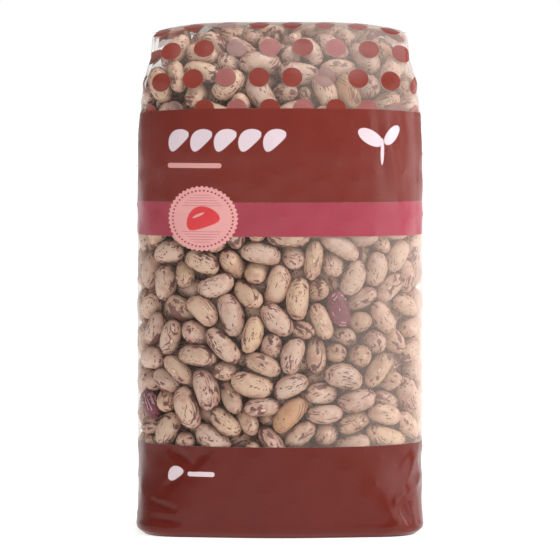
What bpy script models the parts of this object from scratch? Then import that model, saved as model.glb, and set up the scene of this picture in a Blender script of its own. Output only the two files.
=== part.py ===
"""A sealed clear film bag of dried speckled beans, standing upright on its flat folded base.

The bag is a gusseted tube of thin film, packed tight. Its front faces -Y, its gussets face +X and -X,
and the origin is the middle of the base, on the surface that the bag stands on. Lengths are in metres.
The film lies on the beans, so its panels carry low bumps of a bean's size.
"""

import math
import random

import bmesh
import bpy
import numpy as np

HEIGHT = 0.1998  # floor to the ridge where the top seal folds over
SHOULDER = 0.054  # height of the rounded gable below the ridge
HALF_DEPTH = 0.0308  # middle of the bag to the corners of its front panel
PANEL_CROWN = 0.0045  # how far the front and back panels swell at their middle
GUSSET_CROWN = 0.0010  # the same for the gussets
RIDGE_DROP = 0.0042  # the ridge is this much lower at its two ends than at its middle
RIDGE_GAP = 0.0016  # half the thickness left where front and back panel meet at the ridge

# Half width of the bag against height: the corners that the panels and gussets would have unrounded.
WIDTH_STATIONS = (
    (0.000, 0.0530),
    (0.003, 0.0550),
    (0.009, 0.0546),
    (0.022, 0.0544),
    (0.045, 0.0546),
    (0.090, 0.0546),
    (0.130, 0.0546),
    (0.150, 0.0544),
    (0.158, 0.0540),
    (0.166, 0.0536),
    (0.172, 0.0559),
    (0.178, 0.0562),
    (0.184, 0.0533),
    (0.190, 0.0503),
    (0.196, 0.0502),
    (0.2005, 0.0501),
)
# Share of HALF_DEPTH against height, below the shoulder. The lowest stations round the base's edge.
DEPTH_STATIONS = (
    (0.000, 0.920),
    (0.003, 0.975),
    (0.009, 0.990),
    (0.040, 1.020),
    (0.090, 1.025),
    (0.146, 1.000),
)

PANEL_CORNER_REACH = 0.036  # how far from its corner a panel's rounding starts
GUSSET_CORNER_REACH = 0.026  # the same on the gussets
BASE_CORNER_REACH = 0.0150  # the same for both at the base, where the film is creased by its folded bottom
BASE_CORNER_RISE = 0.034  # height at which the corners have their full reach
TUCKED_CORNER_REACH = 0.0035  # the same where the gussets are folded in and the film is creased
FOLD_SHARPENS = 0.75  # share of the gusset's fold at which its crease is fully sharp
TUCK_DEPTH = 0.022  # how far each gusset is folded in at the ridge
TUCK_HEIGHT = 0.034  # how far below the ridge that fold ends
SEALED_TOP = 0.0002  # the last of the height, where the fold is sealed shut between the panels

BEAN_LENGTH = 0.0148
BEAN_WIDTH = 0.0100
BUMP_HEIGHT = 0.0017  # how far a bean stands proud of the gaps beside it, under the film
BUMP_SEED = 11
BUMP_JITTER = 0.32  # share of the pitch by which a bean is off its row
BUMP_SIZES = (0.9, 1.1)  # smallest and largest bean, as shares of the usual one
BUMP_FALL = 0.7  # how roundly a bump falls away: 0.5 is a true ellipsoid, more is softer
BUMPS_FULL = 0.016  # height above the base from which the bumps have their whole height
BUMPS_FADE = 0.012  # the last of the height, where the film leaves the beans for its seal

TOP_SEAL_WIDTH = 0.0135  # the crimped strip folded down onto the back
TOP_SEAL_INSET = 0.0012  # the strip ends this far inside the ridge's own ends
SEAL_PROUD = 0.0018
BACK_SEAM_WIDTH = 0.0110  # the lapped seam down the middle of the back
SEAM_PROUD = 0.0015
SEAL_SINK = 0.0009  # how deep a seal's inner side lies in the bag, so that the two are one body
BACK_SEAM_START = 0.008  # height of the seam's lower end, above the base's rounded edge
BACK_SEAM_SHIFT = 0.004  # the lap lies to one side of the middle
SEAM_UNDER_SEAL = 0.08  # radians of the gable's arch that the seam runs on under the top seal

QUARTER_COLUMNS = 21  # grid steps from the middle of a panel to the middle of a gusset
FINE_STEPS = 24
TURN_COUNTS_AS = 0.008  # film length that a radian of turn counts as when the steps are shared out
BASE_ROWS = 4
BASE_EDGE = 0.009  # height of the rounding round the base
WALL_ROWS = 34
GABLE_ROWS = 15
SEAL_ROWS = 7
SEAL_COLUMNS = 25
SEAM_WALL_ROWS = 12
SEAM_GABLE_ROWS = 8

FILM_COLOUR = (0.46, 0.27, 0.22, 1.0)


def clear_scene():
    for old in list(bpy.data.objects):
        bpy.data.objects.remove(old)


def smooth_step(low, high, value):
    share = np.clip((value - low) / (high - low), 0.0, 1.0)
    return share * share * (3.0 - 2.0 * share)


def along_stations(stations, height):
    """The value at a height on a smooth curve through the stations, which never overshoots them."""
    x = np.array([s[0] for s in stations])
    y = np.array([s[1] for s in stations])
    slope = np.diff(y) / np.diff(x)
    tangent = np.zeros_like(y)
    same_way = slope[:-1] * slope[1:] > 0
    product = 2.0 * slope[:-1] * slope[1:]
    total = slope[:-1] + slope[1:]
    tangent[1:-1][same_way] = product[same_way] / total[same_way]
    tangent[0], tangent[-1] = slope[0], slope[-1]
    i = int(np.clip(np.searchsorted(x, height) - 1, 0, len(x) - 2))
    step = x[i + 1] - x[i]
    t = np.clip((height - x[i]) / step, 0.0, 1.0)
    return (
        y[i] * (1 + 2 * t) * (1 - t) ** 2
        + tangent[i] * step * t * (1 - t) ** 2
        + y[i + 1] * t * t * (3 - 2 * t)
        + tangent[i + 1] * step * t * t * (t - 1)
    )


def half_depth(height):
    """Half the bag's depth at the panels' corners: steady up the wall, then an arch over the gable."""
    wall_top = HEIGHT - SHOULDER
    if height <= wall_top:
        return HALF_DEPTH * along_stations(DEPTH_STATIONS, height)
    rise = (height - wall_top) / SHOULDER
    return max(RIDGE_GAP, HALF_DEPTH * math.sqrt(max(0.0, 1.0 - rise * rise)))


def folded(height):
    """How far the gussets' fold has come: 0 below it, 1 at the ridge."""
    return max(0.0, 1.0 - (HEIGHT - height) / TUCK_HEIGHT)


def tuck(height):
    """How far a gusset's middle crease lies inside the panel's edge."""
    if height > HEIGHT - SEALED_TOP:
        return 0.0
    return TUCK_DEPTH * folded(height)


def corner_reaches(height):
    """How far the rounding of a corner reaches along the panel, and along the gusset."""
    body = smooth_step(0.0, BASE_CORNER_RISE, height)
    creased = smooth_step(0.0, FOLD_SHARPENS, folded(height))
    reaches = []
    for full in (PANEL_CORNER_REACH, GUSSET_CORNER_REACH):
        reach = BASE_CORNER_REACH + (full - BASE_CORNER_REACH) * body
        reaches.append(reach + (TUCKED_CORNER_REACH - full) * creased)
    return reaches


def fine_quarter(height):
    """A fine line from the middle of the front panel, round its corner, to a gusset's middle crease."""
    wide, deep = along_stations(WIDTH_STATIONS, height), half_depth(height)
    on_panel, on_gusset = corner_reaches(height)
    crease = np.array([wide - tuck(height), 0.0])
    corner = np.array([wide, -deep])
    middle = np.array([0.0, -deep])
    side = crease - corner
    start = corner - np.array([min(on_panel, 0.66 * wide), 0.0])
    end = corner + side * min(on_gusset / np.linalg.norm(side), 0.84)
    share = np.arange(FINE_STEPS)[:, None] / FINE_STEPS
    t = np.arange(2 * FINE_STEPS)[:, None] / (2 * FINE_STEPS)
    turn = (1 - t) ** 2 * start + 2 * t * (1 - t) * corner + t * t * end
    points = np.vstack((middle + (start - middle) * share, turn, end + (crease - end) * share, [crease]))

    fullness = deep / HALF_DEPTH
    flat = 1.0 - tuck(height) / TUCK_DEPTH
    forward = np.clip(-points[:, 1] / deep, 0.0, 1.0)
    sideways = np.clip(points[:, 0] / wide, 0.0, 1.0)
    points[:, 0] += GUSSET_CROWN * fullness * flat * np.cos(0.5 * math.pi * forward) ** 2
    points[:, 1] -= PANEL_CROWN * fullness * np.cos(0.5 * math.pi * sideways) ** 2 * forward
    return points


def column_places(height):
    """Where the grid's columns lie on the fine line: even along the film, and closer where it turns."""
    fine = fine_quarter(min(height, HEIGHT - 2 * SEALED_TOP))
    steps = np.diff(fine, axis=0)
    angles = np.unwrap(np.arctan2(steps[:, 1], steps[:, 0]))
    turned = np.abs(np.diff(angles, prepend=angles[0]))
    measure = np.cumsum(np.linalg.norm(steps, axis=1) + TURN_COUNTS_AS * turned)
    measure = np.concatenate(([0.0], measure))
    wanted = np.linspace(0.0, measure[-1], QUARTER_COLUMNS + 1)
    return np.interp(wanted, measure, np.arange(len(fine)))


def quarter_outline(height):
    """The outline from the middle of the front panel to the middle of a gusset, in the grid's steps."""
    fine = fine_quarter(height)
    places = column_places(height)
    along = np.arange(len(fine))
    return np.column_stack([np.interp(places, along, fine[:, axis]) for axis in range(2)])


def whole_outline(height):
    """The closed outline at a height, from the front panel's middle towards +X and round."""
    front_right = quarter_outline(height)
    back_right = front_right[-2::-1] * (1, -1)
    back_left = front_right[1:] * (-1, -1)
    front_left = front_right[-2:0:-1] * (-1, 1)
    return np.vstack((front_right, back_right, back_left, front_left))


def row_heights():
    """Heights of the grid's rows: close together round the base's edge and over the gable."""
    wall_top = HEIGHT - SHOULDER
    base = [BASE_EDGE * (i / BASE_ROWS) ** 1.6 for i in range(BASE_ROWS)]
    wall = [BASE_EDGE + (wall_top - BASE_EDGE) * i / WALL_ROWS for i in range(WALL_ROWS)]
    last_turn = math.acos(RIDGE_GAP / HALF_DEPTH)
    gable = [wall_top + SHOULDER * math.sin(last_turn * i / GABLE_ROWS) for i in range(GABLE_ROWS + 1)]
    return np.array(base + wall + gable)


def ridge_sag(points, heights):
    """Lowers the gable towards its two ends, where the beans don't fill the film."""
    share = smooth_step(HEIGHT - SHOULDER, HEIGHT, heights)[:, None]
    wide = along_stations(WIDTH_STATIONS, HEIGHT)
    return RIDGE_DROP * share * (points[..., 0] / wide) ** 4


def wall_grid():
    """The film's surface without its bumps, as (rows, columns, 3) points."""
    heights = row_heights()
    flat = np.array([whole_outline(h) for h in heights])
    level = np.repeat(heights[:, None], flat.shape[1], axis=1)
    level = level - ridge_sag(flat, heights)
    return np.dstack((flat, level)), heights


def outward(points):
    """Unit normals of the grid, which closes round its columns."""
    along = np.roll(points, -1, axis=1) - np.roll(points, 1, axis=1)
    up = np.gradient(points, axis=0)
    normal = np.cross(along, up)
    return normal / np.maximum(np.linalg.norm(normal, axis=2, keepdims=True), 1e-9)


def film_lengths(points):
    """Distances over the film: round the bag for each column, and up the front for each row."""
    middle_row = points[len(points) // 2]
    steps = np.linalg.norm(np.roll(middle_row, -1, axis=0) - middle_row, axis=1)
    rises = np.linalg.norm(np.diff(points[:, 0], axis=0), axis=1)
    round_bag = np.concatenate(([0.0], np.cumsum(steps)))
    return round_bag[:-1], np.concatenate(([0.0], np.cumsum(rises))), round_bag[-1]


def bean_bumps(points):
    """Height of the film above the gaps between the beans that it lies on."""
    draw = random.Random(BUMP_SEED)
    around, up, girth = film_lengths(points)
    across_count = round(girth / (BEAN_LENGTH * 0.92))
    row_count = round(up[-1] / (BEAN_WIDTH * 0.98))
    pitch, row_pitch = girth / across_count, up[-1] / row_count
    u, v = np.meshgrid(around, up)
    bump = np.zeros_like(u)
    for row in range(row_count):
        for i in range(across_count):
            centre_u = (i + 0.5 * (row % 2) + draw.uniform(-BUMP_JITTER, BUMP_JITTER)) * pitch
            centre_v = (row + 0.5 + draw.uniform(-BUMP_JITTER, BUMP_JITTER)) * row_pitch
            lie = draw.uniform(-0.5, 0.5) * math.pi
            size = draw.uniform(*BUMP_SIZES)
            du = (u - centre_u + girth / 2) % girth - girth / 2
            dv = v - centre_v
            along = (du * math.cos(lie) + dv * math.sin(lie)) / (BEAN_LENGTH * size / 2)
            across = (dv * math.cos(lie) - du * math.sin(lie)) / (BEAN_WIDTH * size / 2)
            inside = np.clip(1.0 - along**2 - across**2, 0.0, 1.0)
            bump = np.maximum(bump, BUMP_HEIGHT * size * inside**BUMP_FALL)
    return bump


def bump_share(points, heights):
    """Where the film lies on beans: not round the base's edge, nor in the gussets' tucks at the top."""
    above_base = smooth_step(BUMPS_FULL / 4, BUMPS_FULL, heights)[:, None]
    below_ridge = 1.0 - smooth_step(HEIGHT - BUMPS_FADE, HEIGHT - BUMPS_FADE / 6, heights)[:, None]
    empty_film = np.clip([1.6 * folded(h) for h in heights], 0.0, 1.0)[:, None]
    near_edge = smooth_step(1.4 * TUCK_DEPTH, 2.0 * TUCK_DEPTH, np.abs(points[..., 0]))
    return above_base * below_ridge * (1.0 - empty_film * near_edge)


def bag_mesh(points):
    """A closed mesh from the grid, with one flat face as its base and a narrow strip along the ridge."""
    rows, columns = points.shape[:2]
    bm = bmesh.new()
    verts = [[bm.verts.new(p) for p in row] for row in points]
    for r in range(rows - 1):
        for c in range(columns):
            d = (c + 1) % columns
            bm.faces.new((verts[r][c], verts[r][d], verts[r + 1][d], verts[r + 1][c]))
    bm.faces.new(verts[0][::-1])
    ridge, half = verts[-1], columns // 2
    for c in range(-half // 2, half // 2):
        strip = [ridge[c], ridge[c + 1], ridge[half - c - 1], ridge[(half - c) % columns]]
        bm.faces.new(list(dict.fromkeys(strip)))
    bmesh.ops.recalc_face_normals(bm, faces=bm.faces)
    mesh = bpy.data.meshes.new("bag")
    bm.to_mesh(mesh)
    bm.free()
    return mesh


def strip_slab(name, surface, normals, proud):
    """A closed slab over a patch of the film, standing proud of it and sunk a little into it."""
    rows, columns = surface.shape[:2]
    outer = surface + normals * proud
    inner = surface - normals * SEAL_SINK
    bm = bmesh.new()
    top = [[bm.verts.new(p) for p in row] for row in outer]
    under = [[bm.verts.new(p) for p in row] for row in inner]
    for r in range(rows - 1):
        for c in range(columns - 1):
            bm.faces.new((top[r][c], top[r][c + 1], top[r + 1][c + 1], top[r + 1][c]))
            bm.faces.new((under[r][c], under[r + 1][c], under[r + 1][c + 1], under[r][c + 1]))
    rim = [(0, c) for c in range(columns)] + [(r, columns - 1) for r in range(1, rows)]
    rim += [(rows - 1, c) for c in range(columns - 2, -1, -1)] + [(r, 0) for r in range(rows - 2, 0, -1)]
    for (r0, c0), (r1, c1) in zip(rim, rim[1:] + rim[:1]):
        bm.faces.new((top[r0][c0], under[r0][c0], under[r1][c1], top[r1][c1]))
    bmesh.ops.recalc_face_normals(bm, faces=bm.faces)
    mesh = bpy.data.meshes.new(name)
    bm.to_mesh(mesh)
    bm.free()
    slab = bpy.data.objects.new(name, mesh)
    slab.hide_render = True
    slab.display_type = "WIRE"
    return slab


def back_line(x, height):
    """A point on the back panel without bumps, and its outward direction, for seams that lie there."""
    wide, deep = along_stations(WIDTH_STATIONS, height), half_depth(height)
    crown = PANEL_CROWN * (deep / HALF_DEPTH) * math.cos(0.5 * math.pi * x / wide) ** 2
    drop = RIDGE_DROP * smooth_step(HEIGHT - SHOULDER, HEIGHT, height)
    drop *= (x / along_stations(WIDTH_STATIONS, HEIGHT)) ** 4
    rise = max(0.0, (height - (HEIGHT - SHOULDER)) / SHOULDER)
    tilt = math.atan2(HALF_DEPTH * rise, SHOULDER * math.sqrt(max(1e-6, 1.0 - rise * rise)))
    return (x, deep + crown, height - drop), (0.0, math.cos(tilt), math.sin(tilt))


def patch_on_back(xs, heights):
    pairs = [[back_line(x, h) for x in xs] for h in heights]
    surface = np.array([[p for p, _ in row] for row in pairs])
    normals = np.array([[n for _, n in row] for row in pairs])
    return surface, normals


def gable_height(turn):
    """Height at which the gable's arch has turned this far from the wall towards the ridge."""
    return HEIGHT - SHOULDER + SHOULDER * math.sin(turn)


def top_seal():
    """The crimped top seal, folded over the ridge and down onto the back of the gable."""
    half_width = along_stations(WIDTH_STATIONS, HEIGHT) - TOP_SEAL_INSET
    last_turn = math.acos(RIDGE_GAP / HALF_DEPTH)
    first_turn = math.acos(TOP_SEAL_WIDTH / HALF_DEPTH)
    turns = np.linspace(first_turn, last_turn, SEAL_ROWS)
    xs = np.linspace(-half_width, half_width, SEAL_COLUMNS)
    surface, normals = patch_on_back(xs, [gable_height(t) for t in turns])
    return strip_slab("top_seal", surface, normals, SEAL_PROUD)


def back_seam():
    """The lapped seam that closes the film into a tube, down the back from the top seal to the base."""
    left = BACK_SEAM_SHIFT - BACK_SEAM_WIDTH / 2
    xs = np.linspace(left, left + BACK_SEAM_WIDTH, 3)
    last_turn = math.acos(TOP_SEAL_WIDTH / HALF_DEPTH) + SEAM_UNDER_SEAL
    turns = np.linspace(0.0, last_turn, SEAM_GABLE_ROWS + 1)[1:]
    heights = list(np.linspace(BACK_SEAM_START, HEIGHT - SHOULDER, SEAM_WALL_ROWS))
    heights += [gable_height(turn) for turn in turns]
    surface, normals = patch_on_back(xs, heights)
    return strip_slab("back_seam", surface, normals, SEAM_PROUD)


def printed_film():
    material = bpy.data.materials.new("printed_film")
    material.use_nodes = True
    shader = material.node_tree.nodes["Principled BSDF"]
    shader.inputs["Base Color"].default_value = FILM_COLOUR
    shader.inputs["Roughness"].default_value = 0.30
    shader.inputs["Metallic"].default_value = 0.0
    return material


def join_seals(bag, slabs):
    """Fuses the seals to the bag, because all of it is one web of film."""
    pieces = bpy.data.collections.new("seals")
    bpy.context.scene.collection.children.link(pieces)
    for slab in slabs:
        pieces.objects.link(slab)
    union = bag.modifiers.new("seals", "BOOLEAN")
    union.operation = "UNION"
    union.operand_type = "COLLECTION"
    union.collection = pieces
    union.solver = "EXACT"
    bpy.context.view_layer.objects.active = bag
    bpy.ops.object.modifier_apply(modifier=union.name)
    for slab in slabs:
        bpy.data.objects.remove(slab)
    bpy.data.collections.remove(pieces)


def main():
    clear_scene()
    points, heights = wall_grid()
    relief = bean_bumps(points) * bump_share(points, heights)
    mesh = bag_mesh(points + outward(points) * relief[..., None])
    bag = bpy.data.objects.new("bean_bag", mesh)
    bpy.context.scene.collection.objects.link(bag)
    join_seals(bag, [top_seal(), back_seam()])
    bag.data.materials.clear()
    bag.data.materials.append(printed_film())
    bag.data.shade_smooth()
    bag.data.set_sharp_from_angle(angle=math.radians(50))


main()
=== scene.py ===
"""A sealed clear film bag of dried speckled beans, printed in plain bands and dots.

The fixed frame gives one solid bag. Here the film becomes a thin clear skin that lies on real beans.
The beans are settled into the bag first. The film is then drawn tight over them, and its print follows
the film's own unrolled coordinates. Lengths are in metres.
"""

import math

import bpy
import numpy as np
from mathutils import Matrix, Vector
from mathutils.bvhtree import BVHTree


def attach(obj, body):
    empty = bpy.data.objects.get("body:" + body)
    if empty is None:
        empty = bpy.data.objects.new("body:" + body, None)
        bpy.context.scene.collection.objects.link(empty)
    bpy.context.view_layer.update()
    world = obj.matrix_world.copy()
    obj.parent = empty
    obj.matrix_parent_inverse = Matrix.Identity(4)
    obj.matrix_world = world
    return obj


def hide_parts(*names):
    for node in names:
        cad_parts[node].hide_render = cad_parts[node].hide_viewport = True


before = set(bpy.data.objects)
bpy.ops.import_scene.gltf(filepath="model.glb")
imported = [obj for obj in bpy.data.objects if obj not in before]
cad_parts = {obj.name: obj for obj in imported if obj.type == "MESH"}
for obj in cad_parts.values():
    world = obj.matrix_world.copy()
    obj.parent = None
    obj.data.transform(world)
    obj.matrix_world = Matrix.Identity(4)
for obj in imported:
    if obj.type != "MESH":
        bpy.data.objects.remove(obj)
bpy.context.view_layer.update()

BAG_NODE = "bean_bag"
MM = 0.001

# The bag's form, as in the solid: its own height, gable, gussets and the corners' roundness.
HEIGHT = 0.1998
SHOULDER = 0.054
HALF_DEPTH = 0.0308
PANEL_CROWN = 0.0045
GUSSET_CROWN = 0.0010
RIDGE_DROP = 0.0042
RIDGE_GAP = 0.0016
WIDTH_STATIONS = (
    (0.000, 0.0530),
    (0.003, 0.0550),
    (0.009, 0.0546),
    (0.022, 0.0544),
    (0.045, 0.0546),
    (0.090, 0.0546),
    (0.130, 0.0546),
    (0.150, 0.0544),
    (0.158, 0.0540),
    (0.166, 0.0536),
    (0.172, 0.0559),
    (0.178, 0.0562),
    (0.184, 0.0533),
    (0.190, 0.0503),
    (0.196, 0.0502),
    (0.2005, 0.0501),
)
DEPTH_STATIONS = (
    (0.000, 0.920),
    (0.003, 0.975),
    (0.009, 0.990),
    (0.040, 1.020),
    (0.090, 1.025),
    (0.146, 1.000),
)
PANEL_CORNER_REACH = 0.036
GUSSET_CORNER_REACH = 0.026
BASE_CORNER_REACH = 0.0150
BASE_CORNER_RISE = 0.034
TUCKED_CORNER_REACH = 0.0035
FOLD_SHARPENS = 0.75
TUCK_DEPTH = 0.022
TUCK_HEIGHT = 0.034
SEALED_TOP = 0.0002
BASE_EDGE = 0.009
FINE_STEPS = 60
TURN_COUNTS_AS = 0.008

# The film's grid. Columns are counted from the middle of a panel to the middle of a gusset.
QUARTER_COLUMNS = 96
BASE_ROWS = 11
WALL_ROWS = 156
GABLE_ROWS = 66

# The beans. They fill the bag down to SHELL_DEPTH under the film, round a core that isn't seen.
BEAN_HALF = np.array((7.9, 4.8, 4.05)) * MM
BEAN_COUNT = 1010
BEAN_SEED = 7
LIE_SPREAD = 0.65
SHELL_DEPTH = 21 * MM
BEANS_PROUD = 1.3 * MM
GROW_STEPS = 150
SETTLE_STEPS = 130
FIRST_SIZE = 0.5
SDF_PITCH = 2.6 * MM

FILM_GAP = 0.16 * MM
FILM_STEPS = 200
FILM_PULL = 0.005 * MM
FILM_EASE = 10
PRESS_ROUNDS = 3
BEANS_INSET = 0.5 * MM
PULL_OUT = 0.7 * MM
BASE_CLEAR = 0.5 * MM
RAY_START = 2.2 * MM
RAY_DEPTH = 7 * MM
MOST_PROUD = 0.7 * MM
BEAN_SHRINK = 0.965
EMPTY_CORNER = (36 * MM, 182 * MM)
EMPTY_SPAN = (14 * MM, 16 * MM)
# Folds in the film: from x, z to x, z on the front, how far they stand out, and half their width, in mm.
FILM_FOLDS = (
    (-50.0, 13.5, -42.0, 11.0, -1.5, 1.9),
    (-50.0, 7.5, -40.0, 6.5, -1.5, 1.9),
    (-46.5, 17.0, -39.0, 25.0, -1.1, 2.3),
    (-43.0, 35.0, -34.0, 28.5, -1.4, 2.8),
    (-34.0, 28.5, -28.0, 35.5, -1.3, 2.8),
    (56.0, 38.0, 46.5, 14.0, 1.1, 3.0),
    (46.5, 14.0, 56.0, 22.0, 1.0, 2.8),
    (47.0, 14.0, 52.0, 3.5, -1.1, 2.4),
    (40.0, 2.5, 52.0, 8.0, 0.9, 2.8),
    (46.5, 128.0, 41.0, 166.0, 0.8, 4.0),
    (-49.0, 128.0, -47.0, 166.0, -0.5, 3.5),
)
OUTER_DEPTH = 11 * MM
KEEP_DEPTH = 22 * MM
TOUCHING_DEPTH = 6.3 * MM
KIND_SHARES = (0.56, 0.994)
BASE_RINGS = (0.985, 0.955, 0.90, 0.75, 0.5, 0.25, 0.08)

BEAN_SIDES = 12
BEAN_RINGS = 7
BELLY_FLAT = 0.10
BEAN_BEND = 0.13
MAROON_SPOTS = ((0.0306, -0.032, 0.082), (-0.0490, -0.020, 0.048))
TAN_SPOTS = ((0.0104, -0.034, 0.047),)
CORE_FOOT = 19 * MM
CORE_TOP = 178 * MM
CORE_INSET = (17.0 * MM, 16.0 * MM)

SEAM_COLUMNS = (9, 1)
SEAM_FROM = 7 * MM
SEAM_TO = 193 * MM
TOP_SEAL_WIDTH = 13.5 * MM
SEAL_RIB = 1.5 * MM
SEAL_BELOW_RIDGE = 0.25 * MM
SEAL_INSET = 2.2 * MM

# The print, in millimetres of height up the bag, and of film round it from the front's middle.
PRINT_LEVELS = {
    "band_top": 166.2,
    "stripe_top": 130.1,
    "stripe_foot": 117.0,
    "foot_top": 35.8,
    "title": 154.4,
    "subtitle": 144.3,
    "sprig": 152.6,
    "weight": 25.0,
    "badge": 123.9,
}
PRINT_EDGE = 0.09
DOT_PITCH = 12.85
DOT_RADIUS = 4.0
DOT_START = -3.9
DOT_SHIFT = 8.6
DOT_ROWS = 4
DOT_STRETCH = 0.0035
DOT_SEED = 6688.86
DOT_SHARES = (0.60, 0.85)
TITLE_LEFT = -45.6
TITLE_PITCH = 9.6
TITLE_BEANS = 5
TITLE_BEAN = (5.3, 3.2)
TITLE_TILT = 0.75
SUBTITLE_BAR = (-34.0, 22.6, 1.9)
PRINTED_BEAN_BEND = 0.45
SPRIG_AT = 40.6
SPRIG_LEAVES = (
    ((-4.9, 2.6), (2.8, 5.7), 1.05),
    ((4.5, 3.6), (2.5, 5.0), -0.75),
    ((0.0, -3.0), (0.7, 5.2), 0.0),
)
WEIGHT_BAR = (-31.0, 11.0, 1.9)
WEIGHT_BEAN_AT = -42.0
BADGE_AT = -30.6
BADGE_RADIUS = 14.5
BADGE_SQUASH = 1.15
BADGE_SCALLOPS = 44
BADGE_BEADS = 48
BEAD_RING = 12.4
BEAD_RADIUS = 0.42
RULES_FROM = 5.2
RULE_PITCH = 1.15

HAZE = 0.035
HAZE_GLANCE = 0.50
# Painted glare: the film is made milkier towards the right of the front and at the top, where the lights glare
# on it.
PAINTED_GLARE_RIGHT = (-15.0, 48.0, 0.0, 0.20)
PAINTED_GLARE_TOP = 0.06

FLOOR_RADIUS = 12.0
FLOOR_GLOW = 0.80
SURROUND_LIGHT = 0.35
OVERHEAD_LIGHT = 2.6
KEY_POWER = 8.6
RIM_POWER = 3.2

FRAME_PIXELS = 560
PIXEL_SIZE = 0.385 * MM
CAMERA_AWAY = 1.30
FRONT_AT = 0.032
CAMERA_HEIGHT = 0.1772
CAMERA_LEVEL_ROW = 80


def along_stations(stations, height):
    """Values at heights on a smooth curve through the stations, which never overshoots them."""
    x = np.array([s[0] for s in stations])
    y = np.array([s[1] for s in stations])
    slope = np.diff(y) / np.diff(x)
    tangent = np.zeros_like(y)
    same_way = slope[:-1] * slope[1:] > 0
    product = 2.0 * slope[:-1] * slope[1:]
    total = slope[:-1] + slope[1:]
    tangent[1:-1][same_way] = product[same_way] / total[same_way]
    tangent[0], tangent[-1] = slope[0], slope[-1]
    i = np.clip(np.searchsorted(x, height) - 1, 0, len(x) - 2)
    step = x[i + 1] - x[i]
    t = np.clip((height - x[i]) / step, 0.0, 1.0)
    return (
        y[i] * (1 + 2 * t) * (1 - t) ** 2
        + tangent[i] * step * t * (1 - t) ** 2
        + y[i + 1] * t * t * (3 - 2 * t)
        + tangent[i + 1] * step * t * t * (t - 1)
    )


def smooth_step(low, high, value):
    share = np.clip((value - low) / (high - low), 0.0, 1.0)
    return share * share * (3.0 - 2.0 * share)


def half_depth(height):
    wall_top = HEIGHT - SHOULDER
    if height <= wall_top:
        return HALF_DEPTH * along_stations(DEPTH_STATIONS, height)
    rise = (height - wall_top) / SHOULDER
    return max(RIDGE_GAP, HALF_DEPTH * math.sqrt(max(0.0, 1.0 - rise * rise)))


def folded(height):
    """How far the gussets' fold has come: 0 below it, 1 at the ridge."""
    return max(0.0, 1.0 - (HEIGHT - height) / TUCK_HEIGHT)


def tuck(height):
    if height > HEIGHT - SEALED_TOP:
        return 0.0
    return TUCK_DEPTH * folded(height)


def corner_reaches(height):
    """How far the rounding of a corner reaches along the panel, and along the gusset."""
    body = smooth_step(0.0, BASE_CORNER_RISE, height)
    creased = smooth_step(0.0, FOLD_SHARPENS, folded(height))
    reaches = []
    for full in (PANEL_CORNER_REACH, GUSSET_CORNER_REACH):
        reach = BASE_CORNER_REACH + (full - BASE_CORNER_REACH) * body
        reaches.append(reach + (TUCKED_CORNER_REACH - full) * creased)
    return reaches


def fine_quarter(height):
    """A fine line from the middle of the front panel, round its corner, to a gusset's middle crease."""
    wide, deep = along_stations(WIDTH_STATIONS, height), half_depth(height)
    on_panel, on_gusset = corner_reaches(height)
    crease = np.array([wide - tuck(height), 0.0])
    corner = np.array([wide, -deep])
    middle = np.array([0.0, -deep])
    side = crease - corner
    start = corner - np.array([min(on_panel, 0.66 * wide), 0.0])
    end = corner + side * min(on_gusset / np.linalg.norm(side), 0.84)
    share = np.arange(FINE_STEPS)[:, None] / FINE_STEPS
    t = np.arange(2 * FINE_STEPS)[:, None] / (2 * FINE_STEPS)
    turn = (1 - t) ** 2 * start + 2 * t * (1 - t) * corner + t * t * end
    points = np.vstack((middle + (start - middle) * share, turn, end + (crease - end) * share, [crease]))

    fullness = deep / HALF_DEPTH
    flat = 1.0 - tuck(height) / TUCK_DEPTH
    forward = np.clip(-points[:, 1] / deep, 0.0, 1.0)
    sideways = np.clip(points[:, 0] / wide, 0.0, 1.0)
    points[:, 0] += GUSSET_CROWN * fullness * flat * np.cos(0.5 * math.pi * forward) ** 2
    points[:, 1] -= PANEL_CROWN * fullness * np.cos(0.5 * math.pi * sideways) ** 2 * forward
    return points


def quarter_outline(height, columns):
    """The fine line in even steps along the film, closer where it turns."""
    fine = fine_quarter(min(height, HEIGHT - 2 * SEALED_TOP))
    steps = np.diff(fine, axis=0)
    angles = np.unwrap(np.arctan2(steps[:, 1], steps[:, 0]))
    turned = np.abs(np.diff(angles, prepend=angles[0]))
    measure = np.cumsum(np.linalg.norm(steps, axis=1) + TURN_COUNTS_AS * turned)
    measure = np.concatenate(([0.0], measure))
    along = np.arange(len(fine))
    places = np.interp(np.linspace(0.0, measure[-1], columns + 1), measure, along)
    outline = fine_quarter(height)
    return np.column_stack([np.interp(places, along, outline[:, axis]) for axis in range(2)])


def whole_outline(height, columns):
    """The closed outline at a height, from the front panel's middle towards +X and round."""
    front_right = quarter_outline(height, columns)
    back_right = front_right[-2::-1] * (1, -1)
    back_left = front_right[1:] * (-1, -1)
    front_left = front_right[-2:0:-1] * (-1, 1)
    return np.vstack((front_right, back_right, back_left, front_left))


def row_heights(base_rows, wall_rows, gable_rows):
    wall_top = HEIGHT - SHOULDER
    base = [BASE_EDGE * (i / base_rows) ** 1.6 for i in range(base_rows)]
    wall = [BASE_EDGE + (wall_top - BASE_EDGE) * i / wall_rows for i in range(wall_rows)]
    last_turn = math.acos(RIDGE_GAP / HALF_DEPTH)
    gable = [wall_top + SHOULDER * math.sin(last_turn * i / gable_rows) for i in range(gable_rows + 1)]
    return np.array(base + wall + gable)


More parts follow.
